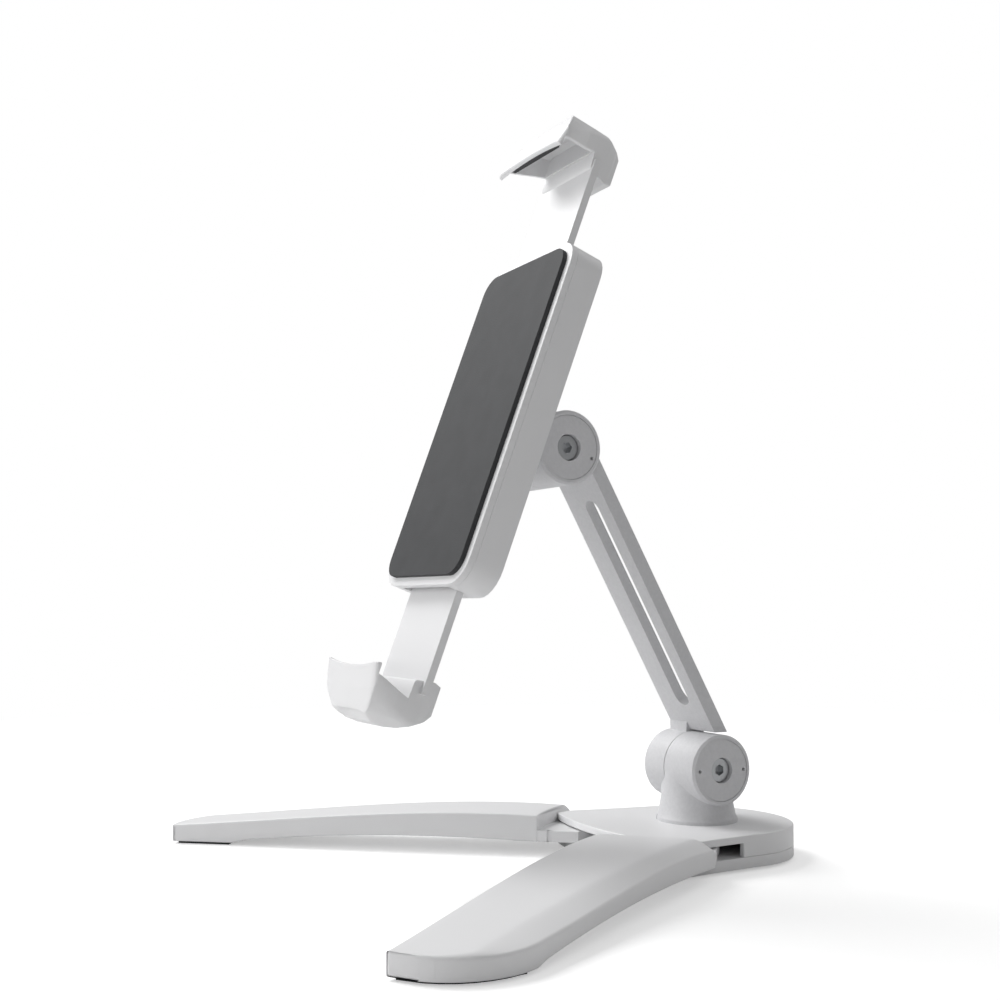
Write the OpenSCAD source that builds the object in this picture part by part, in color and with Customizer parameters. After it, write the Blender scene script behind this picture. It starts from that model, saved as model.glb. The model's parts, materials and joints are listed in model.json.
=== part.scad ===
// Folding tablet stand: two swinging legs, a round hub with a turning turret,
// a slotted arm between two friction hinges, and a sprung clamp with two claws.
// Millimetres. Origin on the desk below the turret axis, -Y is the screen side.

/* [Hub] */
// Radius of the hub's round back
hub_r = 29.2; // [27:0.1:34]
// Distance from the turret axis to the middle of the front edge
hub_front = 37; // [36:0.5:44]
// Radius of the curved front edge
hub_front_r = 100; // [80:1:160]
// Height of the hub's top above the desk
hub_h = 10.4; // [10:0.1:14]
// Thickness of the top skin
skin_t = 2.2; // [1.6:0.1:2.6]
// Thickness of the side wall
hub_wall = 2; // [1.5:0.1:2.5]
// Thickness of the bottom plate
plate_t = 3.3; // [3:0.1:3.8]
// Height of the rubber pads that show below the plate
pad_show = 0.8; // [0.5:0.1:1]
// Depth of the pad recesses
pad_sink = 0.4; // [0.3:0.1:0.6]

/* [Legs] */
// Angle between each leg's inner edge and straight ahead
leg_splay = 35.8; // [25:0.1:45]
// Sideways distance of a leg pivot from the turret axis
pivot_x = 16.5; // [16.2:0.1:19]
// Forward distance of a leg pivot from the turret axis
pivot_y = 17.9; // [17:0.1:20]
// Length of a leg from its tip to its pivot
leg_len = 142.7; // [110:0.1:180]
// Width of the leg where the rounded tip ends
leg_tip_w = 25.6; // [22:0.1:30]
// Width of the leg at the hub
leg_root_w = 31.8; // [30:0.1:34]
// Height of the leg at its tip
leg_tip_h = 6.1; // [5:0.1:8]
// Height of the leg at the hub
leg_root_h = 11.6; // [11:0.1:13]
// Length of the foot block at the tip
foot_len = 20; // [16:0.5:26]
// Thickness of the tongue that enters the hub
tongue_t = 3.5; // [2.8:0.1:3.5]
// Radius of the tongue's eye around the pin
eye_r = 11; // [9:0.1:11.5]
// Radius of a leg pin
pin_r = 3; // [2:0.1:4]

/* [Hinges] */
// Height of the lower hinge axis above the desk
hinge_z = 27; // [26:0.1:32]
// Radius of the hinge barrels and knuckles
barrel_r = 10.8; // [10.2:0.1:11.2]
// Length of a hinge barrel
barrel_len = 14.9; // [13:0.1:18]
// Length of a knuckle on the arm
knuckle_len = 10.3; // [9:0.1:13]
// Radius of the turret flange
flange_r = 12.5; // [12:0.1:15]
// Radius of the hinge bolts
bolt_r = 2; // [1.5:0.1:2.5]
// Radius of the hinge bolt heads
bolt_head_r = 3.5; // [3:0.1:4]
// Radius of the ring set in each barrel's face
cap_r = 9.35; // [8.6:0.05:9.4]
// Radius of the turret's spigot in the hub
spigot_r = 8; // [6:0.1:8.4]

/* [Arm] */
// Distance between the two hinge axes
arm_len = 109.8; // [90:0.1:140]
// Forward lean of the arm
arm_lean = 29.3; // [15:0.1:40]
// Width of the flat bar
bar_w = 21.1; // [20:0.1:24]
// Thickness of the flat bar
bar_t = 4.2; // [3.6:0.1:5]
// Width of the slot in the bar
slot_w = 6.4; // [4:0.1:7]
// Distance of each slot end from the nearer hinge axis
slot_end = 19.2; // [17:0.1:26]

/* [Clamp] */
// Backward lean of the screen
screen_lean = 20.8; // [0:0.1:45]
// Distance from the screen glass back to the upper hinge axis
hinge_back = 33.8; // [33.8:0.1:38]
// Half width of the clamp housing
case_w = 26; // [25:0.5:32]
// Half length of the clamp housing
case_h = 52; // [46:0.5:56]
// Distance of the tablet's edge from the middle of the clamp
grip = 80.9; // [78:0.1:96]
// Half width of a claw's lip
lip_w = 18; // [16.5:0.1:22]
// Half width of the slide bars
slide_w = 15; // [13:0.1:15.2]
// Thickness of a slide bar
slide_t = 2.2; // [1.6:0.1:2.2]
// Tooth module of the pinion
gear_m = 1.25; // [1.25:0.05:1.35]

/* [Hidden] */
$fn = 64;
white = "#e9e9ea";
grey = "#c9cacb";
steel = "#b4b6b8";
rubber = "#5b5c5e";
eps = 0.01;
run = 0.06;       // running clearance on a radius
seat = 0.05;      // clearance of a fixed screw or pin on a radius
side_gap = 0.3;   // gap between a knuckle and its barrel

// Hub heights and outline
plate_top = pad_show + plate_t;
skin_z = hub_h - skin_t;
side_end_y = 5.5;         // the side wall stops this far in front of the axis
horn_x = hub_r + 1.4;
wide_x = hub_r + 3.5;
waist_x = hub_r + 2;
wide_y = hub_front - 11;
waist_y = hub_front - 20.5;
front_c = hub_front_r - hub_front;
function front_y(x) = front_c - sqrt(hub_front_r * hub_front_r - x * x);
screw_at = [[0, hub_r - 6.2], [hub_r - 9.2, 7], [9.2 - hub_r, 7]];
pad_at = [[0, 0, 9], [26, -25, 3.5], [-26, -25, 3.5], [hub_r - 13.2, 17, 3.5], [13.2 - hub_r, 17, 3.5]];
head_t = 1.3;             // height of the screw and pin heads
head_top = pad_show + 0.2 + head_t;

// Leg shape: heights and widths along the leg follow cubic curves
function bez(c, u) = let (v = 1 - u)
    v * v * v * c[0] + 3 * u * v * v * c[1] + 3 * u * u * v * c[2] + u * u * u * c[3];
pivot_t = 16.5;           // distance of the pivot from the leg's inner edge
body_len = leg_len - 12;  // the body's curves run to here
tip_run = 24;             // length of the rounded tip corner
tip_rise = 20;            // width of the rounded tip corner
foot_z = pad_show;
tongue_z = plate_top + 0.2;
shoulder_r = 83.4;        // radius of the shoulder that faces the hub
shoulder_c = [leg_len + 59.1, -5.4];
leg_crown = [leg_tip_h, leg_tip_h + 3.2, leg_root_h + 3.5, leg_root_h];
leg_side = [leg_tip_h - 0.5, leg_tip_h - 0.2, leg_root_h + 1.3, leg_root_h - 3.4];
leg_edge = [leg_tip_w, leg_tip_w + 2.7, leg_root_w - 2.2, leg_root_w];
leg_crease = [leg_tip_w - 8, leg_tip_w - 6, leg_root_w - 6.5, leg_root_w - 4.4];
leg_under = [1.8, 5.66, 5.56, 3.6];
ramp_end = foot_len + 4.5;
function top_z(s) = bez(leg_crown, s / body_len);
function side_z(s) = min(bez(leg_side, s / body_len), top_z(s) - 0.1);
function edge_t(s) = s < tip_run
    ? leg_tip_w - tip_rise * (1 - sqrt(1 - pow(1 - s / tip_run, 2)))
    : bez(leg_edge, (s - tip_run) / (body_len - tip_run));
function crease_t(s) = min(bez(leg_crease, s / body_len), edge_t(s));
function under_z(s) = s <= foot_len ? foot_z
    : s <= ramp_end ? foot_z + (leg_under[0] - foot_z) * (s - foot_len) / (ramp_end - foot_len)
    : bez(leg_under, (s - ramp_end) / (body_len - ramp_end));
edge_cut = 0.6;           // small bevel along the inner top edge
function leg_ring(s) = [
    [s, 0, under_z(s)], [s, edge_t(s), under_z(s)], [s, edge_t(s), side_z(s)],
    [s, crease_t(s) - eps, top_z(s)], [s, edge_cut, top_z(s)], [s, 0, top_z(s) - edge_cut]];
tip_steps = [for (a = [0 : 10 : 80]) tip_run * (1 - cos(a))];
leg_steps = concat([for (s = tip_steps) if (s < foot_len - 1) s], [foot_len, ramp_end],
    [for (k = [1 : 16]) ramp_end + (body_len - ramp_end) * k / 16]);

// Hinge: the barrel lies on the X axis, the knuckle to its left
barrel_x = -1.9;
barrel_end = barrel_x + barrel_len;
knuckle_x = barrel_x - side_gap;
knuckle_end = knuckle_x - knuckle_len;
knuckle_room = barrel_r + 0.3;
neck_r = barrel_r - 0.05;
cap_t = 2.2;
cap_x = barrel_end - 0.2 - cap_t;
bolt_hole_r = bolt_head_r + 0.35;
bolt_head_h = 4;
bolt_x = cap_x - 3.1;
nut_flat = 3.5 * bolt_r;
nut_t = 3.2;
nut_x = knuckle_end + 0.2;
washer_r = 6;
washer_t = 1;
washer_x = barrel_x - washer_t;
socket_flat = 1.5 * bolt_r;
pin_hole_r = 0.5;
pin_hole_at = cap_r - 1.2;

// Arm
bar_y = 5;                // front face of the bar behind the axis line
bar_x = -11;              // left edge of the bar
slot_x = -1.9;            // left side of the slot
ledge = 1.5;              // width of the ledge round the slot on the back
ledge_t = 1.3;
end_clear = 11.3;         // the bar's free ends keep this far from the axis
gusset_z = 13;

// Clamp depths, measured back from the glass
tab_t = 7.5;              // thickness of the tablet
pad_w = tab_t + 0.1;
cover_w = 9;
cover_t = 2;
slide_gap = 0.2;
slide_1 = cover_w + cover_t + slide_gap;
slide_2 = slide_1 + slide_t + slide_gap;
floor_w = slide_2 + slide_t + slide_gap;
case_back = 19.6;
case_wall = 2;
case_corner = 8;
rail_t = 2;
screw_x = case_w - 5.4;
screw_z = case_h - 8;
swivel_r = 7;
swivel_plate_r = 10.5;
swivel_disc_r = 17;
swivel_disc_t = 3;
ledge_w = case_back - 2.1;

// Pinion and racks
teeth = 10;
pitch = PI * gear_m;
pitch_r = gear_m * teeth / 2;
pressure = 20;
base_r = pitch_r * cos(pressure);
tip_r = pitch_r + 0.8 * gear_m;
root_r = pitch_r - 0.95 * gear_m;
play = 0.15;
post_r = 2;
function involute(a) = tan(a) * 180 / PI - a;
function flank(r) = 90 / teeth - play * 90 / (PI * pitch_r)
    + involute(pressure) - involute(acos(min(1, base_r / r)));
rack_tip = 0.56 * gear_m;
rack_root = 1.1 * gear_m;
rack_first = -8;
rack_last = 6;
travel_in = 5 * pitch;
travel_out = 7 * pitch;
strip_end = -travel_out - 4.8;
web_start = travel_in + tip_r + 1.9;

// Claw depths and heights, heights measured outwards from the clamp's middle
lip_in = -1.5;
lip_front = -3.3;
block_w = 11.3;
claw_wall = 1.3;
lip_r = 110;              // radius of the hollow in the lip's edge

// Round-cornered rectangle of half sizes a and b
module rounded(a, b, r) {
    polygon([for (q = [0 : 3]) for (k = [0 : 6])
        let (c = [(q == 0 || q == 3 ? 1 : -1) * (a - r), (q < 2 ? 1 : -1) * (b - r)])
        c + r * [cos(90 * q + 15 * k), sin(90 * q + 15 * k)]]);
}

module slot_plan(x, z0, z1, w) {
    r = w / 2;
    polygon([for (k = [0 : 12]) [x + r + r * cos(15 * k), z1 - r + r * sin(15 * k)],
             for (k = [12 : 24]) [x + r + r * cos(15 * k), z0 + r + r * sin(15 * k)]]);
}

// Cylinder lying along X from x0 to x1
module along_x(x0, x1, r) {
    translate([x0, 0, 0]) rotate([0, 90, 0]) cylinder(h = x1 - x0, r = r);
}

// Cylinder or cone lying along Y, which runs back from the glass
module along_w(w0, w1, r, r2 = 0) {
    translate([0, w0, 0]) rotate([-90, 0, 0]) cylinder(h = w1 - w0, r1 = r, r2 = r2 > 0 ? r2 : r);
}

// Extrudes an outline drawn in x and z from depth w0 to w1
module slab(w0, w1) {
    translate([0, w1, 0]) rotate([90, 0, 0]) linear_extrude(w1 - w0) children();
}

// ---- Hub ----
module hub_plan(cut = 0) {
    circle(r = hub_r - cut);
    polygon(concat(
        [[-hub_r + cut, 0], [-waist_x + cut, -waist_y], [-wide_x + cut, -wide_y]],
        [for (k = [-6 : 6]) let (x = horn_x * k / 6) [x, front_y(x)]],
        [[wide_x - cut, -wide_y], [waist_x - cut, -waist_y], [hub_r - cut, 0]]));
}

module at_screws() {
    for (p = screw_at) translate([p[0], p[1], 0]) children();
}

module at_pivots() {
    for (m = [-1, 1]) translate([m * pivot_x, -pivot_y, 0]) children();
}

module base_shell() {
    color(white) difference() {
        translate([0, 0, plate_top]) linear_extrude(hub_h - plate_top) hub_plan();
        difference() {
            translate([0, 0, plate_top - eps]) union() {
                linear_extrude(skin_z - plate_top + eps) hub_plan(hub_wall);
                translate([-50, -60, 0]) cube([100, 60 - side_end_y, skin_z - plate_top + eps]);
            }
            at_screws() translate([0, 0, plate_top - 1]) cylinder(h = skin_z - plate_top + 2, r = 3);
        }
        at_screws() translate([0, 0, plate_top - 1]) cylinder(h = 5.8, r = 1.25 + seat);
        at_pivots() translate([0, 0, skin_z - 1]) cylinder(h = 2.2, r = pin_r + seat);
        translate([0, 0, plate_top]) cylinder(h = hub_h, r = spigot_r + run);
    }
}

module base_plate() {
    color(white) difference() {
        translate([0, 0, pad_show]) linear_extrude(plate_t) hub_plan();
        for (p = pad_at) translate([p[0], p[1], 0]) cylinder(h = pad_show + pad_sink, r = p[2] + 0.1);
        at_screws() cylinder(h = head_top, r = 2.5);
        at_screws() cylinder(h = hub_h, r = 1.25 + seat);
        at_pivots() cylinder(h = head_top, r = pin_r + 2.1);
        at_pivots() cylinder(h = hub_h, r = pin_r + seat);
    }
}

module base_pads() {
    color(rubber) for (p = pad_at) translate([p[0], p[1], 0]) cylinder(h = pad_show + pad_sink, r = p[2]);
}

module base_screws() {
    color(steel) at_screws() {
        difference() {
            translate([0, 0, head_top - head_t]) cylinder(h = head_t, r = 2.4);
            cylinder(h = head_top - 0.6, r = 1.2, $fn = 6);
        }
        translate([0, 0, head_top - eps]) cylinder(h = plate_top + 4.6 - head_top, r = 1.25);
    }
}

module leg_pins() {
    color(steel) at_pivots() {
        translate([0, 0, head_top - head_t]) cylinder(h = head_t, r = pin_r + 2);
        translate([0, 0, head_top - eps]) cylinder(h = skin_z + 1.1 - head_top, r = pin_r);
    }
}

// ---- Legs: drawn for the left side, x from tip to hub and y outwards ----
module leg_body() {
    n = 6;
    rings = len(leg_steps);
    polyhedron(
        points = [for (s = leg_steps) each leg_ring(s)],
        faces = concat(
            [[for (k = [0 : n - 1]) k]],
            [[for (k = [n - 1 : -1 : 0]) (rings - 1) * n + k]],
            [for (i = [0 : rings - 2]) for (k = [0 : n - 1]) let (j = (k + 1) % n)
                [i * n + j, i * n + k, (i + 1) * n + k]],
            [for (i = [0 : rings - 2]) for (k = [0 : n - 1]) let (j = (k + 1) % n)
                [i * n + j, (i + 1) * n + k, (i + 1) * n + j]]));
}

module tongue_plan() {
    translate([leg_len, pivot_t]) circle(r = eye_r);
    polygon([[leg_len - 32, 0], [leg_len - 11.7, 0], [leg_len - 4.2, pivot_t - 0.9 * eye_r],
             [leg_len, pivot_t], [leg_len - 1.7, pivot_t + 0.95 * eye_r],
             [leg_len - 5.7, pivot_t + 12.5], [leg_len - 15.7, leg_root_w - 0.4],
             [leg_len - 32, leg_root_w - 2]]);
}

module leg() {
    difference() {
        union() {
            difference() {
                leg_body();
                translate([shoulder_c[0], shoulder_c[1], -1])
                    cylinder(h = 30, r = shoulder_r, $fn = 180);
            }
            translate([0, 0, tongue_z]) linear_extrude(tongue_t) tongue_plan();
        }
        translate([leg_len, pivot_t, 0]) cylinder(h = 20, r = pin_r + run + 0.02);
        translate([leg_len - 21.4, -1, tongue_z - 1]) cube([1.8, 1.5, tongue_t + 1]);
    }
}

module leg_pad() {
    inset = 1.5;
    linear_extrude(foot_z) polygon(concat(
        [[foot_len - inset, inset], [inset, inset]],
        [for (s = tip_steps) if (s > 0.2 && s < foot_len - 3) [s + inset, edge_t(s) - inset]],
        [[foot_len - inset, edge_t(foot_len - inset) - inset]]));
}

module place_leg() {
    translate([-pivot_x, -pivot_y, 0]) rotate([0, 0, 90 - leg_splay])
        translate([-leg_len, -pivot_t, 0]) children();
}

module left_leg() { color(white) place_leg() leg(); }
module right_leg() { color(white) mirror([1, 0, 0]) place_leg() leg(); }
module left_leg_pad() { color(rubber) place_leg() leg_pad(); }
module right_leg_pad() { color(rubber) mirror([1, 0, 0]) place_leg() leg_pad(); }

// ---- Hinge pieces, all on the X axis ----
module barrel() {
    rim = 0.7;
    rotate([0, 90, 0]) rotate_extrude() polygon([[0, barrel_x], [barrel_r, barrel_x],
        [barrel_r, barrel_end - rim], [barrel_r - rim, barrel_end], [0, barrel_end]]);
}

module barrel_holes() {
    along_x(cap_x, barrel_end + 1, cap_r + seat);
    along_x(bolt_x, barrel_end + 1, bolt_hole_r);
    along_x(barrel_x - 1, barrel_end, bolt_r + run);
}

module cap() {
    difference() {
        along_x(cap_x, cap_x + cap_t, cap_r);
        along_x(cap_x - 1, barrel_end, bolt_hole_r);
        for (m = [-1, 1]) translate([0, m * pin_hole_at, 0]) along_x(barrel_end - 1.4, barrel_end, pin_hole_r);
    }
}

module bolt() {
    difference() {
        along_x(bolt_x, bolt_x + bolt_head_h, bolt_head_r);
        translate([bolt_x + 1.8, 0, 0]) rotate([0, 90, 0])
            cylinder(h = bolt_head_h, r = socket_flat / 2 / cos(30), $fn = 6);
    }
    along_x(nut_x, bolt_x + eps, bolt_r);
}

module spring_washer() {
    difference() {
        along_x(washer_x, barrel_x, washer_r);
        along_x(washer_x - 1, barrel_x + 1, bolt_r + run);
    }
}

module nut() {
    difference() {
        translate([nut_x, 0, 0]) rotate([0, 90, 0]) cylinder(h = nut_t, r = nut_flat / 2 / cos(30), $fn = 6);
        along_x(nut_x - 1, nut_x + nut_t + 1, bolt_r + 0.03);
    }
}

module knuckle() { along_x(knuckle_end, knuckle_x, barrel_r); }

module knuckle_holes() {
    along_x(knuckle_end - 1, knuckle_x + 1, bolt_r + run);
    along_x(washer_x - 0.1, knuckle_x + 1, washer_r + 0.1);
    translate([knuckle_end - 1, 0, 0]) rotate([0, 90, 0])
        cylinder(h = nut_x + nut_t + 1 - knuckle_end, r = (nut_flat + 0.1) / 2 / cos(30), $fn = 6);
}

// ---- Turret ----
module at_lower() { translate([0, 0, hinge_z]) children(); }

module turret() {
    color(grey) difference() {
        union() {
            at_lower() barrel();
            difference() {
                rotate_extrude() polygon([[0, skin_z - 0.2], [spigot_r, skin_z - 0.2], [spigot_r, hub_h],
                    [flange_r, hub_h], [flange_r, hub_h + 1], [flange_r - 0.6, hub_h + 2.1],
                    [flange_r - 1.1, hub_h + 4.6], [neck_r + 0.15, hub_h + 7.6],
                    [neck_r, hinge_z], [0, hinge_z]]);
                at_lower() along_x(-20, barrel_x, knuckle_room);
            }
        }
        at_lower() barrel_holes();
        translate([0, 0, skin_z - 1]) cylinder(h = hinge_z - skin_z - bolt_hole_r - 3, r = 2 + seat);
        for (a = [64.4, 244.4]) rotate([0, 0, a]) translate([flange_r, 0, hub_h - 1]) cylinder(h = 3, r = 0.6);
    }
}

module turret_washer() {
    color(steel) translate([0, 0, skin_z - 1.2]) difference() {
        cylinder(h = 1, r = spigot_r + 2.5);
        translate([0, 0, -1]) cylinder(h = 3, r = 2 + seat);
    }
}

module turret_screw() {
    head_z = skin_z - 1.2;
    color(steel) {
        difference() {
            translate([0, 0, head_z - 2]) cylinder(h = 2, r = 4);
            translate([0, 0, head_z - 3]) cylinder(h = 2, r = 1.5, $fn = 6);
        }
        translate([0, 0, head_z - eps]) cylinder(h = hinge_z - bolt_hole_r - 5 - head_z, r = 2);
    }
}

module lower_cap() { color(grey) at_lower() cap(); }
module lower_bolt() { color(steel) at_lower() bolt(); }
module lower_washer() { color(steel) at_lower() spring_washer(); }

// ---- Arm: z runs along the arm from the lower axis ----
module at_arm() { at_lower() rotate([arm_lean, 0, 0]) children(); }

module free_end() {
    // cuts the bar's right part level with the desk, just above the barrel
    translate([knuckle_x, 0, 0]) rotate([-arm_lean, 0, 0])
        translate([0, -20, -20]) cube([30, 60, 20 + end_clear]);
}

module gusset() {
    translate([bar_x, 0, 0]) rotate([90, 0, 90]) linear_extrude(knuckle_x - bar_x)
        polygon([[bar_y + 1, gusset_z], [bar_y, gusset_z], [3.4, 10.2], [0, 6], [bar_y + 1, 6]]);
}

module far_end() { translate([0, 0, arm_len]) mirror([0, 0, 1]) children(); }

module arm() {
    color(white) at_arm() difference() {
        union() {
            difference() {
                translate([bar_x, bar_y, 0]) cube([bar_w, bar_t, arm_len]);
                free_end();
                far_end() free_end();
                slab(0, 30) slot_plan(slot_x, slot_end, arm_len - slot_end, slot_w);
                slab(bar_y + bar_t - ledge_t, 30)
                    slot_plan(slot_x - ledge, slot_end - ledge, arm_len - slot_end + ledge, slot_w + 2 * ledge);
            }
            knuckle();
            gusset();
            far_end() knuckle();
            far_end() gusset();
        }
        knuckle_holes();
        far_end() knuckle_holes();
    }
}

module lower_nut() { color(steel) at_arm() nut(); }
module upper_nut() { color(steel) at_arm() far_end() nut(); }

// ---- Head: upper hinge and swivel, y runs back from the glass ----
module at_upper() {
    translate([0, -arm_len * sin(arm_lean), hinge_z + arm_len * cos(arm_lean)])
        rotate([-screen_lean, 0, 0]) children();
}

module at_clamp() { at_upper() translate([0, -hinge_back, 0]) children(); }

module head() {
    reach = hinge_back - case_back - swivel_disc_t;
    color(grey) difference() {
        union() {
            at_upper() barrel();
            difference() {
                at_upper() rotate([90, 0, 0]) rotate_extrude() polygon([[0, 0], [neck_r, 0],
                    [neck_r + 0.15, reach - 3], [neck_r + 1.5, reach], [swivel_disc_r - 0.6, reach],
                    [swivel_disc_r, reach + 0.6], [swivel_disc_r, hinge_back - case_back],
                    [swivel_r, hinge_back - case_back], [swivel_r, hinge_back - ledge_w + 0.1],
                    [0, hinge_back - ledge_w + 0.1]]);
                at_upper() along_x(-20, barrel_x, knuckle_room);
            }
        }
        at_upper() barrel_holes();
        at_clamp() along_w(0, hinge_back - bolt_hole_r - 2.5, 1.5 + seat);
        at_clamp() along_w(ledge_w - 1, ledge_w + 0.6, 3.1, 1.5 + seat);
    }
}

module upper_cap() { color(grey) at_upper() cap(); }
module upper_bolt() { color(steel) at_upper() bolt(); }
module upper_washer() { color(steel) at_upper() spring_washer(); }

module swivel_washer() {
    color(steel) at_clamp() difference() {
        along_w(ledge_w - 1, ledge_w - 0.1, swivel_plate_r);
        along_w(ledge_w - 1, ledge_w + 0.6, 3.1, 1.5 + seat);
    }
}

module swivel_screw() {
    color(steel) at_clamp() difference() {
        union() {
            along_w(ledge_w - 1, ledge_w + 0.55, 3, 1.5);
            along_w(ledge_w + 0.5, hinge_back - bolt_hole_r - 3.5, 1.5);
        }
        translate([0, ledge_w - 2, 0]) rotate([-90, 0, 0]) cylinder(h = 1.7, r = 1.1, $fn = 6);
    }
}

// ---- Clamp housing ----
module at_case_screws() {
    for (x = [-screw_x, screw_x]) for (z = [-screw_z, screw_z]) translate([x, 0, z]) children();
}

module cradle_back() {
    inner = cover_w + cover_t;
    boss_w = inner + 3;
    guide = slide_w + 0.2;
    color(white) at_clamp() difference() {
        slab(inner, case_back) rounded(case_w, case_h, case_corner);
        difference() {
            slab(inner - 1, floor_w) rounded(case_w - case_wall, case_h - case_wall, case_corner - case_wall);
            for (m = [-1, 1]) translate([m * (guide + rail_t / 2) - rail_t / 2, inner - 2, -case_h])
                cube([rail_t, floor_w, 2 * case_h]);
            at_case_screws() along_w(boss_w, floor_w + 1, 3);
        }
        translate([-guide, inner - 1, -case_h - 1]) cube([2 * guide, floor_w - inner + 1, 2 * case_h + 2]);
        along_w(inner, ledge_w, swivel_plate_r + 0.5);
        along_w(inner, case_back + 1, swivel_r + run);
        at_case_screws() along_w(inner, case_back + 1, 1.25 + seat);
        at_case_screws() along_w(case_back - 1.8, case_back + 1, 2.5);
    }
}

module cradle_front() {
    inner = cover_w + cover_t;
    color(white) at_clamp() {
        difference() {
            union() {
                slab(cover_w, inner) rounded(case_w, case_h, case_corner);
                at_case_screws() along_w(inner - eps, inner + 3, 3);
            }
            along_w(inner - 1.2, inner + 1, 14);
            at_case_screws() along_w(cover_w + 0.8, inner + 4, 1.25 + seat);
        }
        along_w(inner - 1.3, floor_w - 0.2, post_r);
    }
}

module cradle_pad() {
    color(rubber) at_clamp() slab(pad_w, cover_w) rounded(case_w - 2.5, case_h - 2.5, case_corner - 2.5);
}

module cradle_screws() {
    color(steel) at_clamp() at_case_screws() {
        difference() {
            along_w(case_back - 1.8, case_back - 0.3, 2.4);
            translate([0, case_back - 1.2, 0]) rotate([-90, 0, 0]) cylinder(h = 2, r = 1.1, $fn = 6);
        }
        along_w(cover_w + 0.9, case_back - 1.8 + eps, 1.25);
    }
}

// Flat spiral spring round the pinion's hub
module claw_spring() {
    turns = 5;
    steps = 24 * turns;
    inside = 3.6;
    growth = (12.6 - inside) / steps;
    band = 0.4;
    color(steel) at_clamp() slab(cover_w + cover_t - 1.1, cover_w + cover_t - 0.1) polygon(concat(
        [for (k = [0 : steps]) (inside + growth * k) * [cos(15 * k), sin(15 * k)]],
        [for (k = [steps : -1 : 0]) (inside + growth * k + band) * [cos(15 * k), sin(15 * k)]]));
}

module pinion() {
    color(grey) at_clamp() difference() {
        union() {
            slab(slide_1, floor_w - 0.3) polygon([for (i = [0 : teeth - 1])
                let (mid = i * 360 / teeth)
                each [for (e = [[root_r, -1], [base_r, -1], [pitch_r, -1], [tip_r, -1],
                                [tip_r, 1], [pitch_r, 1], [base_r, 1], [root_r, 1]])
                    let (a = mid + e[1] * flank(max(base_r, e[0])))
                    e[0] * [cos(a), sin(a)]]]);
            along_w(cover_w + cover_t - 1.1, slide_1 + eps, 3.2);
        }
        along_w(0, 30, post_r + run);
    }
}

// ---- Claws: drawn for the upper end, z outwards from the clamp's middle ----
module slide_plan() {
    rack_x = pitch_r + play / 2;
    half = pitch / 4 - play / 2;
    lean = tan(pressure);
    translate([-slide_w, web_start]) square([2 * slide_w, grip - web_start + 1]);
    translate([rack_x + rack_root, strip_end]) square([slide_w - rack_x - rack_root, web_start - strip_end + 1]);
    for (k = [rack_first : rack_last]) translate([rack_x, (k + 0.5) * pitch]) polygon([
        [-rack_tip, lean * rack_tip - half], [rack_root + 0.2, -half - lean * rack_root],
        [rack_root + 0.2, half + lean * rack_root], [-rack_tip, half - lean * rack_tip]]);
}

module claw_side() {
    polygon([[lip_front, grip - 2.5], [lip_in, grip - 2.5], [lip_in, grip + 0.2], [block_w - 0.7, grip + 3.2],
             [block_w, grip - 2.2], [17.5, grip - 3.4], [case_back, grip - 2.8], [17.2, grip + 8.4],
             [11.9, grip + 11.7], [8.4, grip + 12.6], [4.5, grip + 12.4], [1.2, grip + 11.2],
             [-1.4, grip + 4.5]]);
}

module claw_plan(cut = 0) {
    polygon([[-lip_w + cut, -4], [lip_w - cut, -4], [lip_w - cut, 0], [lip_w - 3 - cut, 7],
             [12.5 - cut, 20], [cut - 12.5, 20], [3 - lip_w + cut, 7], [cut - lip_w, 0]]);
}

module claw_front(cut = 0) {
    half = lip_w - cut;
    z = grip - cut;
    polygon([[-half, grip - 4], [half, grip - 4], [half, z + 2.5], [half - 2.5, z + 7.5],
             [half - 7, z + 11.5], [half - 11, z + 13], [11 - half, z + 13],
             [7 - half, z + 11.5], [2.5 - half, z + 7.5], [-half, z + 2.5]]);
}

module claw(slide_w0) {
    difference() {
        union() {
            intersection() {
                translate([-30, 0, 0]) rotate([90, 0, 90]) linear_extrude(60) claw_side();
                translate([0, 0, 60]) linear_extrude(60) claw_plan();
                slab(-10, 30) claw_front();
            }
            slab(slide_w0, slide_w0 + slide_t) slide_plan();
        }
        intersection() {
            translate([-30, 0, 0]) rotate([90, 0, 90]) linear_extrude(60) polygon([
                [lip_in + 0.8, grip - 1], [block_w - 1.6, grip + 1], [block_w - 1.6, grip + 9.5],
                [8, grip + 10.6], [4, grip + 10.2], [1.6, grip + 6]]);
            translate([0, 0, 60]) linear_extrude(60) claw_plan(claw_wall);
            slab(-10, 30) claw_front(claw_wall);
        }
        // the lip's edge is hollowed between its two horns
        translate([0, 0, grip - 1.2 - lip_r]) along_w(lip_front - 1, lip_in + eps, lip_r);
    }
}

module claw_pad() {
    slab(lip_in, lip_in + 1.4) translate([-lip_w + 5, grip - 1]) square([2 * lip_w - 10, 1.2]);
}

module at_lower_claw() { at_clamp() rotate([0, 180, 0]) children(); }

module upper_claw() { color(white) at_clamp() claw(slide_1); }
module lower_claw() { color(white) at_lower_claw() claw(slide_2); }
module upper_claw_pad() { color(rubber) at_clamp() claw_pad(); }
module lower_claw_pad() { color(rubber) at_lower_claw() claw_pad(); }

base_shell();
base_plate();
base_pads();
base_screws();
leg_pins();
left_leg();
right_leg();
left_leg_pad();
right_leg_pad();
turret();
turret_washer();
turret_screw();
lower_cap();
lower_bolt();
lower_washer();
arm();
lower_nut();
upper_nut();
head();
upper_cap();
upper_bolt();
upper_washer();
swivel_washer();
swivel_screw();
cradle_back();
cradle_front();
cradle_pad();
cradle_screws();
claw_spring();
pinion();
upper_claw();
lower_claw();
upper_claw_pad();
lower_claw_pad();
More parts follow.
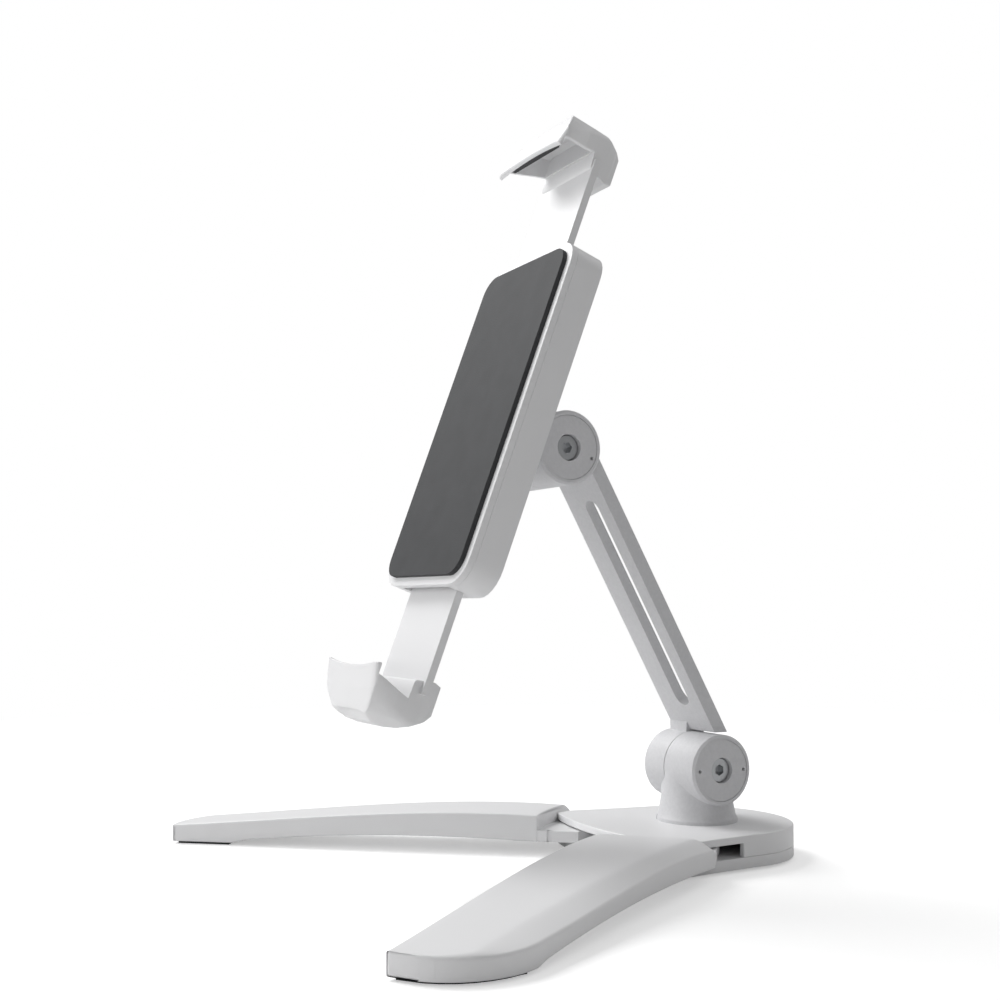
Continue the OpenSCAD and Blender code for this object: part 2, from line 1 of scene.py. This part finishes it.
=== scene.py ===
"""Tablet stand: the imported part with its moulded, cast and turned surfaces, on a white studio floor."""

import json
import math

import bmesh
import bpy
import numpy as np
from mathutils import Matrix, Vector

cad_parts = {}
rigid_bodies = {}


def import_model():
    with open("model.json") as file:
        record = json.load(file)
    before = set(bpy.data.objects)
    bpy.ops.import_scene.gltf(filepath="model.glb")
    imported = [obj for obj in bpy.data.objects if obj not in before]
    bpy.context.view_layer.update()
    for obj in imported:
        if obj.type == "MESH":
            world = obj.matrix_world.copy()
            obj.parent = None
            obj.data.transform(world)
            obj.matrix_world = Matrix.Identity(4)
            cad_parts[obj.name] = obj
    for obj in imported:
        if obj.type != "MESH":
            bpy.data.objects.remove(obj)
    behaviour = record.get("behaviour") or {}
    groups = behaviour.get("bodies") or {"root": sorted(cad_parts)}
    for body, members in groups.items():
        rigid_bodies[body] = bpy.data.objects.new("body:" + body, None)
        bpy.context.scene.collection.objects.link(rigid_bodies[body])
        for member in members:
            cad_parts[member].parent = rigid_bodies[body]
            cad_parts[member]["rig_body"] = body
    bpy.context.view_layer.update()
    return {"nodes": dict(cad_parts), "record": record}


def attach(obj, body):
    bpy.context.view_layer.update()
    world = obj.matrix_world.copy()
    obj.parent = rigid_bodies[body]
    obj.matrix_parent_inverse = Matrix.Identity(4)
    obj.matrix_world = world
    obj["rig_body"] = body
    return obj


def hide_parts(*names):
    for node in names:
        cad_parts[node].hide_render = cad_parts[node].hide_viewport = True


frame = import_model()
MM = 0.001


# ---- Camera ----
# A short lens near the desk, ahead and to the right of the stand, turned back towards
# the hub. The small shift keeps the stand left of and above the lens axis.
camera_at = Vector((0.3405, -0.2538, 0.0780))
camera_looks = Vector((-0.9011, 0.4325, 0.0300)).normalized()
camera_right = camera_looks.cross(Vector((0, 0, 1))).normalized()
camera_up = camera_right.cross(camera_looks)
lens = bpy.data.cameras.new("camera")
lens.sensor_width = 36
lens.lens = 47.84
lens.shift_x = 0.0645
lens.shift_y = 0.0627
lens.clip_start = 0.01
camera = bpy.data.objects.new("camera", lens)
camera.matrix_world = Matrix.Translation(camera_at) @ Matrix(
    (camera_right, camera_up, -camera_looks)).transposed().to_4x4()
bpy.context.collection.objects.link(camera)
bpy.context.scene.camera = camera
bpy.context.scene.view_settings.view_transform = "Standard"


# ---- Studio ----
# A white seamless floor, a white surround and three soft boxes: a large one high on the
# left, a weak one in front and a low one behind, so right-hand faces fall to mid grey.
def linear(hex_colour):
    """Turns an sRGB hex colour into linear RGBA."""
    srgb = np.array([int(hex_colour[i:i + 2], 16) / 255 for i in (1, 3, 5)])
    rgb = np.where(srgb <= 0.04045, srgb / 12.92, ((srgb + 0.055) / 1.055) ** 2.4)
    return (*rgb.tolist(), 1.0)


def add(tree, kind, inputs=None, **settings):
    """Adds a node, sets its properties, and fills its inputs with values or links."""
    made = tree.nodes.new(kind)
    for name, value in settings.items():
        setattr(made, name, value)
    for name, value in (inputs or {}).items():
        if isinstance(value, bpy.types.NodeSocket):
            tree.links.new(value, made.inputs[name])
        else:
            made.inputs[name].default_value = value
    return made


def new_material(name):
    """An empty node material with its output; returns the material, tree and output."""
    material = bpy.data.materials.new(name)
    material.use_nodes = True
    material.node_tree.nodes.clear()
    return material, material.node_tree, add(material.node_tree, "ShaderNodeOutputMaterial")


world = bpy.data.worlds.new("studio")
world.use_nodes = True
bpy.context.scene.world = world
sky = world.node_tree
sky.nodes.clear()
sky_rays = add(sky, "ShaderNodeLightPath")
sky_seen = add(sky, "ShaderNodeMath", {0: sky_rays.outputs["Is Camera Ray"],
                                       1: sky_rays.outputs["Is Transmission Ray"]}, operation="MAXIMUM")
sky_dim = add(sky, "ShaderNodeBackground", {"Color": linear("#FFFFFF"), "Strength": 0.34})
sky_white = add(sky, "ShaderNodeBackground", {"Color": linear("#FFFFFF"), "Strength": 1.0})
sky_mix = add(sky, "ShaderNodeMixShader", {0: sky_seen.outputs[0], 1: sky_dim.outputs[0],
                                           2: sky_white.outputs[0]})
add(sky, "ShaderNodeOutputWorld", {"Surface": sky_mix.outputs[0]})

floor_mesh = bpy.data.meshes.new("floor")
floor_mesh.from_pydata([(-6, -6, 0), (6, -6, 0), (6, 6, 0), (-6, 6, 0)], [], [(0, 1, 2, 3)])
floor = bpy.data.objects.new("floor", floor_mesh)
bpy.context.collection.objects.link(floor)
floor_paint, tree, out = new_material("seamless_white_paper")
rays = add(tree, "ShaderNodeLightPath")
spot = add(tree, "ShaderNodeTexCoord").outputs["Object"]
away = add(tree, "ShaderNodeVectorMath", {0: spot}, operation="LENGTH")
fade = add(tree, "ShaderNodeMapRange", {"Value": away.outputs["Value"], "From Min": 0.25, "From Max": 0.6})
paper = add(tree, "ShaderNodeBsdfDiffuse", {"Color": linear("#E4E4E4")})
glow = add(tree, "ShaderNodeEmission", {"Color": linear("#FFFFFF"), "Strength": 0.42})
lit = add(tree, "ShaderNodeAddShader", {0: paper.outputs[0], 1: glow.outputs[0]})
blank = add(tree, "ShaderNodeEmission", {"Color": linear("#FFFFFF"), "Strength": 1.0})
seen = add(tree, "ShaderNodeMixShader", {0: fade.outputs["Result"], 1: lit.outputs[0], 2: blank.outputs[0]})
floor_mix = add(tree, "ShaderNodeMixShader", {0: rays.outputs["Is Camera Ray"], 1: paper.outputs[0],
                                              2: seen.outputs[0]})
tree.links.new(floor_mix.outputs[0], out.inputs["Surface"])
floor_mesh.materials.append(floor_paint)


def soft_box(name, place, target, size, watts):
    """A square area lamp at place, aimed at target."""
    lamp = bpy.data.lights.new(name, "AREA")
    lamp.size = size
    lamp.energy = watts
    made = bpy.data.objects.new(name, lamp)
    aim = (Vector(target) - Vector(place)).to_track_quat("-Z", "Y")
    made.matrix_world = Matrix.Translation(place) @ aim.to_matrix().to_4x4()
    bpy.context.collection.objects.link(made)


soft_box("high_left", (-0.70, -0.45, 1.0), (0, -0.05, 0.06), 0.7, 12)
soft_box("front", (-0.25, -1.2, 0.35), (0, -0.05, 0.08), 0.7, 4.5)
soft_box("behind", (-0.1, 0.9, 0.8), (0, -0.05, 0.06), 0.7, 2)


# ---- White mouldings ----
# Hub shell, bottom plate, legs, claws and clamp housing are injection-moulded ABS with a
# fine spark-eroded satin finish: white, slightly soft highlights, grain of about 0.2 mm.
def moulded_abs(name, colour, roughness):
    """Satin ABS: an almost even colour with a fine pebbled bump."""
    material, tree, out = new_material(name)
    place = add(tree, "ShaderNodeTexCoord").outputs["Object"]
    drift = add(tree, "ShaderNodeTexNoise", {"Vector": place, "Scale": 30.0, "Detail": 2.0})
    tone = add(tree, "ShaderNodeValToRGB", {"Fac": drift.outputs["Fac"]})
    tone.color_ramp.elements[0].color = [c * 0.97 for c in linear(colour)[:3]] + [1]
    tone.color_ramp.elements[1].color = linear(colour)
    grain = add(tree, "ShaderNodeTexNoise", {"Vector": place, "Scale": 2600.0, "Detail": 2.0})
    bump = add(tree, "ShaderNodeBump", {"Height": grain.outputs["Fac"], "Strength": 0.10,
                                        "Distance": 0.00006})
    shader = add(tree, "ShaderNodeBsdfPrincipled", {
        "Base Color": tone.outputs["Color"], "Roughness": roughness, "IOR": 1.5,
        "Normal": bump.outputs["Normal"]})
    tree.links.new(shader.outputs[0], out.inputs["Surface"])
    return material


abs_white = moulded_abs("moulded_white_abs", "#E6E6E7", 0.42)


def softened(node, paint, edge, angle=32, clean=1.0):
    """A copy of a CAD node, its loose triangles merged into flat faces, with rounded edges."""
    source = frame["nodes"][node]
    mesh = source.data.copy()
    mesh.name = node + "_soft"
    form = bmesh.new()
    form.from_mesh(mesh)
    bmesh.ops.remove_doubles(form, verts=form.verts, dist=2e-6)
    bmesh.ops.dissolve_limit(form, angle_limit=math.radians(clean), verts=form.verts, edges=form.edges)
    form.to_mesh(mesh)
    form.free()
    mesh.materials.clear()
    mesh.materials.append(paint)
    mesh.polygons.foreach_set("use_smooth", [True] * len(mesh.polygons))
    mesh.set_sharp_from_angle(angle=math.radians(angle))
    made = bpy.data.objects.new(node + "_soft", mesh)
    bpy.context.collection.objects.link(made)
    bevel = made.modifiers.new("edge", "BEVEL")
    bevel.limit_method = "ANGLE"
    bevel.angle_limit = math.radians(angle)
    bevel.width = edge * MM
    bevel.segments = 3
    bevel.harden_normals = True
    bevel.use_clamp_overlap = True
    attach(made, source["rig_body"])
    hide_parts(node)
    return made


for name, edge in (("base_shell", 0.35), ("base_plate", 0.3), ("cradle_back", 0.5), ("cradle_front", 0.3)):
    softened(name, abs_white, edge)


# ---- Legs ----
# Each leg is one ABS moulding: an arched bar with a rounded tip and a flat tongue that
# swings on a pin inside the hub. Drawn in millimetres, x from tip to hub, y outwards.
def cubic(values, u):
    """Bernstein cubic through four control values: sum of C(3,k) u^k (1-u)^(3-k) v_k."""
    v = 1 - u
    return v**3 * values[0] + 3 * u * v**2 * values[1] + 3 * u**2 * v * values[2] + u**3 * values[3]


def skin(rings, wrap=False):
    """Vertices and quads through closed rings (n, m, 3); ends are capped unless wrap joins them."""
    count, size = rings.shape[:2]
    index = np.arange(count * size).reshape(count, size)
    here, there = (index, np.roll(index, -1, 0)) if wrap else (index[:-1], index[1:])
    quads = np.stack([here, there, np.roll(there, -1, 1), np.roll(here, -1, 1)], -1).reshape(-1, 4)
    caps = [] if wrap else [index[0].tolist(), index[-1][::-1].tolist()]
    return rings.reshape(-1, 3), quads.tolist() + caps


def join(*surfaces):
    """One vertex array and face list from several surfaces."""
    verts, faces, start = [], [], 0
    for points, loops in surfaces:
        verts.append(points)
        faces += [[i + start for i in loop] for loop in loops]
        start += len(points)
    return np.concatenate(verts), faces


def outward(points, faces):
    """The faces, turned over if the volume they enclose comes out negative."""
    volume = 0.0
    for loop in faces:
        for i in range(1, len(loop) - 1):
            volume += np.dot(points[loop[0]], np.cross(points[loop[i]], points[loop[i + 1]]))
    return faces if volume > 0 else [loop[::-1] for loop in faces]


def made_of(name, surfaces, place, paint, body, nodes, angle=30):
    """An object from surfaces in millimetres, moved by place(points), standing for CAD nodes."""
    parts = []
    for points, faces in surfaces:
        moved = place(points)
        parts.append((moved, outward(moved, faces)))
    points, faces = join(*parts)
    mesh = bpy.data.meshes.new(name)
    mesh.from_pydata((points * MM).tolist(), [], faces)
    mesh.materials.append(paint)
    mesh.polygons.foreach_set("use_smooth", [True] * len(mesh.polygons))
    mesh.set_sharp_from_angle(angle=math.radians(angle))
    made = bpy.data.objects.new(name, mesh)
    bpy.context.collection.objects.link(made)
    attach(made, body)
    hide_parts(*nodes)
    return made


def rounded_ring(corners, cuts):
    """Rings (n, k, 3) with corner i cut back by cuts[i] mm and bridged by a quadratic arc."""
    before, after = np.roll(corners, 1, 1), np.roll(corners, -1, 1)
    columns = []
    for i, cut in enumerate(cuts):
        if cut == 0:
            columns.append(corners[:, i:i + 1])
            continue
        middle = corners[:, i]
        ends = []
        for other in (before[:, i], after[:, i]):
            reach = np.linalg.norm(other - middle, axis=1, keepdims=True)
            ends.append(middle + (other - middle) * np.minimum(cut / np.maximum(reach, 1e-6), 0.45))
        for q in np.linspace(0, 1, 6):
            arc = (1 - q)**2 * ends[0] + 2 * q * (1 - q) * middle + q**2 * ends[1]
            columns.append(arc[:, None])
    return np.concatenate(columns, 1)


def leg_body():
    """The bar, as rounded sections at s = u S(t).

    S(t) = 201.8 - sqrt(83.4^2 - (t + 5.4)^2) is the shoulder's arc, struck from beyond the
    hub. Width, crown, side height and underside follow cubic laws in s / 130.7; the tip
    corner is a quarter ellipse 24 long and 20 wide, and the foot stands proud for 20.
    """
    steps = np.concatenate([24 * (1 - np.cos(np.radians(np.arange(6, 78, 6)))),
                            [19.4, 20, 20.6, 21.4, 22.5, 24, 25, 26, 27.5], np.linspace(30, 117.9, 34)])
    u = np.concatenate([np.zeros(5), steps / 118.58, np.ones(5)])
    fillet = np.radians(np.linspace(90, 0, 5))
    inset = np.concatenate([0.9 * (1 - np.cos(fillet)), np.zeros(len(steps)),
                            0.5 * (1 - np.cos(fillet[::-1]))])
    run = np.concatenate([0.9 * (1 - np.sin(fillet)), np.zeros(len(steps)), -0.5 * (1 - np.sin(fillet[::-1]))])
    low, high = np.linspace(0, 1, 7), np.linspace(1, 0, 8)
    share = np.concatenate([low, [1], high])[None]
    kind = np.array([0] * 7 + [1] + [2] * 8)[None]
    s = np.repeat((u * 118.58)[:, None], 16, 1)
    cut = inset[:, None]
    far_cut = np.where(u > 0.5, inset, 0)[:, None]
    for _ in range(4):
        edge = np.where(s < 24, 25.6 - 20 * (1 - np.sqrt(np.maximum(0, 1 - np.clip(1 - s / 24, 0, 1)**2))),
                        cubic((25.6, 28.3, 29.6, 31.8), (s - 24) / 106.7))
        crease = np.minimum(cubic((17.6, 19.6, 25.3, 27.4), s / 130.7), edge - 1.6)
        t = cut + share * (np.where(kind == 2, crease, edge) - cut - far_cut)
        s = u[:, None] * (201.8 - np.sqrt(83.4**2 - (t + 5.4)**2)) + run[:, None]
    top = cubic((6.1, 9.3, 15.1, 11.6), s / 130.7)
    side = np.minimum(cubic((5.6, 5.9, 12.9, 8.2), s / 130.7), top - 0.1)
    under = np.where(s <= 20, 0.8, np.where(s <= 24.5, 0.8 + (s - 20) / 4.5,
                                            cubic((1.8, 5.66, 5.56, 3.6), (s - 24.5) / 106.2)))
    z = np.where(kind == 0, under + cut, np.where(kind == 1, side, top) - cut)
    corners = np.stack([s, t, z], -1)
    cuts = [0.5] + [0] * 5 + [0.5, 0.9, 3.0] + [0] * 6 + [0.8]
    return skin(rounded_ring(corners, cuts))


def leg_tongue():
    """The plate z 4.3 to 7.8 round the pivot eye, as a grid of polar angle by section."""
    arc = np.radians(np.arange(-104, 96, 8))
    outline = np.concatenate([
        np.stack([142.7 + 11 * np.cos(arc), 16.5 + 11 * np.sin(arc)], 1),
        [(141, 26.9), (139, 28.2), (137, 29), (132, 30.3), (127, 31.4), (118, 30.7), (110.7, 29.8),
         (110.7, 22), (110.7, 15), (110.7, 8), (110.7, 0.7), (118.3, 0.7), (118.4, 0), (121.3, 0), (121.35, 0.5), (123.05, 0.5),
         (123.1, 0), (127, 0), (131, 0), (134.7, 3.2)]])
    from_eye = outline - (142.7, 16.5)
    reach = np.linalg.norm(from_eye, axis=1, keepdims=True)
    way = from_eye / reach
    section = [(0, 0.2, 4.3), (1, -0.2, 4.3), (1, 0, 4.5), (1, 0, 7.6), (1, -0.2, 7.8), (0, 0.2, 7.8),
               (0, 0, 7.6), (0, 0, 4.5)]
    rings = [np.column_stack([(142.7, 16.5) + way * ((reach if outer else 3.08) + shift), np.full(len(way), z)])
             for outer, shift, z in section]
    return skin(np.stack(rings), wrap=True)


def leg_place(hand):
    """The move from the drawing to the left (-1) or right (1) pivot."""
    turn = math.radians(54.2)

    def place(points):
        s, t = points[:, 0] - 142.7, points[:, 1] - 16.5
        x = -16.5 + s * math.cos(turn) - t * math.sin(turn)
        y = -17.9 + s * math.sin(turn) + t * math.cos(turn)
        return np.stack([-hand * x, y, points[:, 2]], 1)
    return place


for name, hand in (("left_leg", -1), ("right_leg", 1)):
    made_of(name + "_moulding", (leg_body(), leg_tongue()), leg_place(hand), abs_white, name,
            (name,))


# ---- Claws ----
# Each claw is one ABS moulding: a hollow jaw that hooks over the tablet's edge and a flat
# slide with a rack along one side, which the pinion drives. Drawn for the upper end.
def claw_jaw():
    """The jaw between two height fields over (x, w), w the depth behind the tablet's back.

    The far side is min(front profile at w - r(x), outline over x), with r(x) the rounding of
    the side edges; the near side is the hollow lip edge, the seat and the block, sunk by the
    pocket wherever |x| < H(w) - 1.3. H(w) is the half-width in plan.
    """
    grip = 80.9
    depth = np.concatenate([np.zeros(12), [-1.45, -1.3, -1.1, -0.8, -0.5, -0.3], np.linspace(-0.15, 9.6, 46),
                            [9.68, 9.76, 10.2, 10.6, 10.85, 10.95, 11.1, 11.3], np.linspace(11.7, 18.9, 22),
                            [19.2, 19.4, 19.52, 19.6]])
    lip_share = np.sin(np.radians(np.linspace(0, 90, 12)))
    rim = np.array([0, 0.06, 0.2, 0.4, 0.65, 0.95, 1.2, 1.3, 1.36, 1.44, 1.52, 1.62, 1.9, 2.4, 3.0])
    lean = np.linspace(-1, 1, 41)[1:-1]
    front_w, front_z = (-3.3, -1.4, 1.2, 2.6, 4.5, 8.4, 11.9, 17.2, 18.9, 19.6), (
        -2.5, 4.5, 10.8, 11.6, 12.4, 12.6, 11.7, 8.4, 6.2, -1.5)
    rings = []
    for i, w in enumerate(depth):
        half = np.interp(max(w, 0), (0, 3, 7, 13, 20), (18, 16.9, 15.1, 13.7, 12.5))
        x = np.concatenate([rim - half, lean * (half - 3), (half - rim)[::-1]])
        side = half - np.abs(x)
        recess = 1.3 * (1 - np.sqrt(1 - np.clip(1 - side / 2.6, 0, 1)**2))
        lip_z = -111.2 + np.sqrt(110**2 - x**2)
        lip_w = -3.3 + (lip_z + 2.5) * 1.9 / 7 + recess
        here = lip_w + (-1.5 - lip_w) * lip_share[i] if i < 12 else np.full(len(x), w)
        swell = 0.25 * (1 - (x / 18)**2) * np.clip((here + 3.3) / 3, 0, 1)
        far = np.interp(here - recess + swell, front_w, front_z)
        outline = np.interp(np.abs(x), (0, 7, 9.5, 11, 13.5, 15.5, 17, 18), (13, 13, 12.4, 11.5, 9.8, 7.5, 5, 2.5))
        far = np.minimum(far, outline) - 1.2 * (1 - np.sqrt(1 - np.clip(1 - side / 1.2, 0, 1)**2))
        far -= 1.5 * np.clip(1 - (x / 10)**2, 0, 1) * np.clip(1 - ((here - 2.6) / 2.0)**2, 0, 1)
        seat = np.interp(w, (-1.5, 10.6, 10.85, 11.3, 17.5, 19.6), (0.2, 3.2, -1.6, -2.2, -3.4, -2.8))
        if i < 12:
            edge = np.clip(1 - np.minimum(here - lip_w, -1.5 - here) / 0.5, 0, 1)
            near = lip_z + 0.35 * (1 - np.sqrt(1 - edge**2))
        else:
            sunk = np.interp(w, (-0.3, 1.6, 4, 8, 9.6, 9.76), (seat, 6, 10.2, 10.6, 9.6, seat))
            sunk = np.maximum(np.minimum(sunk, far - 1.3), seat)
            near = seat + (sunk - seat) * np.clip((side - 1.3) / 0.2, 0, 1)
            near = near + 0.4 * (1 - np.sqrt(1 - np.clip(1 - side / 0.4, 0, 1)**2))
        far = np.maximum(far, near + 0.05)
        high = np.stack([x, here, grip + far], 1)
        low = np.stack([x, here, grip + near], 1)[::-1]
        rings.append(np.concatenate([high, low]))
    return skin(np.stack(rings))


def claw_slide(near):
    """The slide 2.2 thick from depth near, its rack of 15 teeth at pitch 3.927 (module 1.25)."""
    teeth = []
    for k in range(-8, 7):
        middle = (k + 0.5) * math.pi * 1.25
        teeth += [(7.7, middle - 1.407), (5.625, middle - 0.652), (5.625, middle + 0.652), (7.7, middle + 1.407)]
    outline = np.array([(7.7, -32.3), *teeth, (7.7, 28.8), (-15, 28.8), (-15, 81.9), (15, 81.9), (15, -32.3)])
    return skin(np.stack([np.stack([outline[:, 0], np.full(len(outline), w), outline[:, 1]], 1)
                          for w in (near, near + 2.2)]))


def claw_place(hand):
    """The clamp's frame, tilted back 20.8 degrees; the lower claw (-1) is turned half round."""
    def place(points):
        x, w, z = hand * points[:, 0], points[:, 1] - 33.8, hand * points[:, 2]
        return np.stack([x, -53.734 + w * 0.934826 + z * 0.355107, 122.753 - w * 0.355107 + z * 0.934826], 1)
    return place


for name, hand, near in (("upper_claw", 1, 11.2), ("lower_claw", -1, 13.6)):
    made_of(name + "_moulding", (claw_jaw(), claw_slide(near)), claw_place(hand), abs_white, name,
            (name,), angle=40)


# ---- Cast hinge parts ----
# Turret, head, arm and the rings in the barrels are die-cast zinc or aluminium, blasted and powder-coated white,
# with a slightly coarser speckle. Their colour is a shade greyer than the ABS:
# partly the coat's own light grey, and partly painted shade for the shadow the tablet throws on the hinge.
def powder_coat(name, colour):
    """Powder coat over a blasted casting: mottled tone and orange-peel bump, 0.4 mm apart."""
    material, tree, out = new_material(name)
    place = add(tree, "ShaderNodeTexCoord").outputs["Object"]
    mottle = add(tree, "ShaderNodeTexNoise", {"Vector": place, "Scale": 900.0, "Detail": 3.0,
                                              "Roughness": 0.6})
    tone = add(tree, "ShaderNodeValToRGB", {"Fac": mottle.outputs["Fac"]})
    tone.color_ramp.elements[0].position = 0.3
    tone.color_ramp.elements[0].color = [c * 0.93 for c in linear(colour)[:3]] + [1]
    tone.color_ramp.elements[1].position = 0.7
    tone.color_ramp.elements[1].color = linear(colour)
    peel = add(tree, "ShaderNodeTexNoise", {"Vector": place, "Scale": 1500.0, "Detail": 2.0})
    bump = add(tree, "ShaderNodeBump", {"Height": peel.outputs["Fac"], "Strength": 0.22,
                                        "Distance": 0.0001})
    shader = add(tree, "ShaderNodeBsdfPrincipled", {
        "Base Color": tone.outputs["Color"], "Roughness": 0.5, "IOR": 1.5,
        "Normal": bump.outputs["Normal"]})
    tree.links.new(shader.outputs[0], out.inputs["Surface"])
    return material


# D2D2D4 is partly the coat's own grey and partly painted shade from the tablet above the hinge.
cast_grey_painted_shade = powder_coat("powder_coated_casting_painted_shade", "#D2D2D4")
for name, edge in (("turret", 0.35), ("arm", 0.4), ("head", 0.4), ("lower_cap", 0.15), ("upper_cap", 0.15)):
    softened(name, cast_grey_painted_shade, edge)


# ---- Steel and rubber ----
# Screws, bolts, nuts, washers and the spiral spring are zinc-plated steel; the pads that
# touch the desk and the tablet are black moulded rubber.
def plated_steel(name):
    """Zinc-plated steel: fine turned streaks in the roughness."""
    material, tree, out = new_material(name)
    place = add(tree, "ShaderNodeTexCoord").outputs["Object"]
    streak = add(tree, "ShaderNodeTexNoise", {"Vector": place, "Scale": 1200.0, "Detail": 3.0})
    rough = add(tree, "ShaderNodeMapRange", {"Value": streak.outputs["Fac"], "To Min": 0.22, "To Max": 0.42})
    bump = add(tree, "ShaderNodeBump", {"Height": streak.outputs["Fac"], "Strength": 0.05,
                                        "Distance": 0.00005})
    shader = add(tree, "ShaderNodeBsdfPrincipled", {
        "Base Color": linear("#B9BBBD"), "Metallic": 1.0, "Roughness": rough.outputs["Result"],
        "Normal": bump.outputs["Normal"]})
    tree.links.new(shader.outputs[0], out.inputs["Surface"])
    return material


def moulded_rubber(name):
    """Black rubber: matt, with a faint dusty drift and a 0.3 mm pebble."""
    material, tree, out = new_material(name)
    place = add(tree, "ShaderNodeTexCoord").outputs["Object"]
    dust = add(tree, "ShaderNodeTexNoise", {"Vector": place, "Scale": 120.0, "Detail": 4.0})
    tone = add(tree, "ShaderNodeValToRGB", {"Fac": dust.outputs["Fac"]})
    tone.color_ramp.elements[0].color = linear("#2B2C2E")
    tone.color_ramp.elements[1].color = linear("#3A3B3D")
    pebble = add(tree, "ShaderNodeTexVoronoi", {"Vector": place, "Scale": 3000.0})
    bump = add(tree, "ShaderNodeBump", {"Height": pebble.outputs["Distance"], "Strength": 0.2,
                                        "Distance": 0.0001})
    shader = add(tree, "ShaderNodeBsdfPrincipled", {
        "Base Color": tone.outputs["Color"], "Roughness": 0.75, "IOR": 1.5,
        "Normal": bump.outputs["Normal"]})
    tree.links.new(shader.outputs[0], out.inputs["Surface"])
    return material


steel = plated_steel("zinc_plated_steel")
rubber = moulded_rubber("black_moulded_rubber")
gear_grey = moulded_abs("moulded_grey_acetal", "#B4B5B7", 0.35)
carried = {"steel": steel, "rubber": rubber, "white_plastic": abs_white, "white_metal": cast_grey_painted_shade,
           "grey_plastic": gear_grey}
for part in frame["record"]["subparts"]:
    cad = frame["nodes"][part["node"]]
    cad.data.materials.clear()
    cad.data.materials.append(carried[part["material_slot"]])
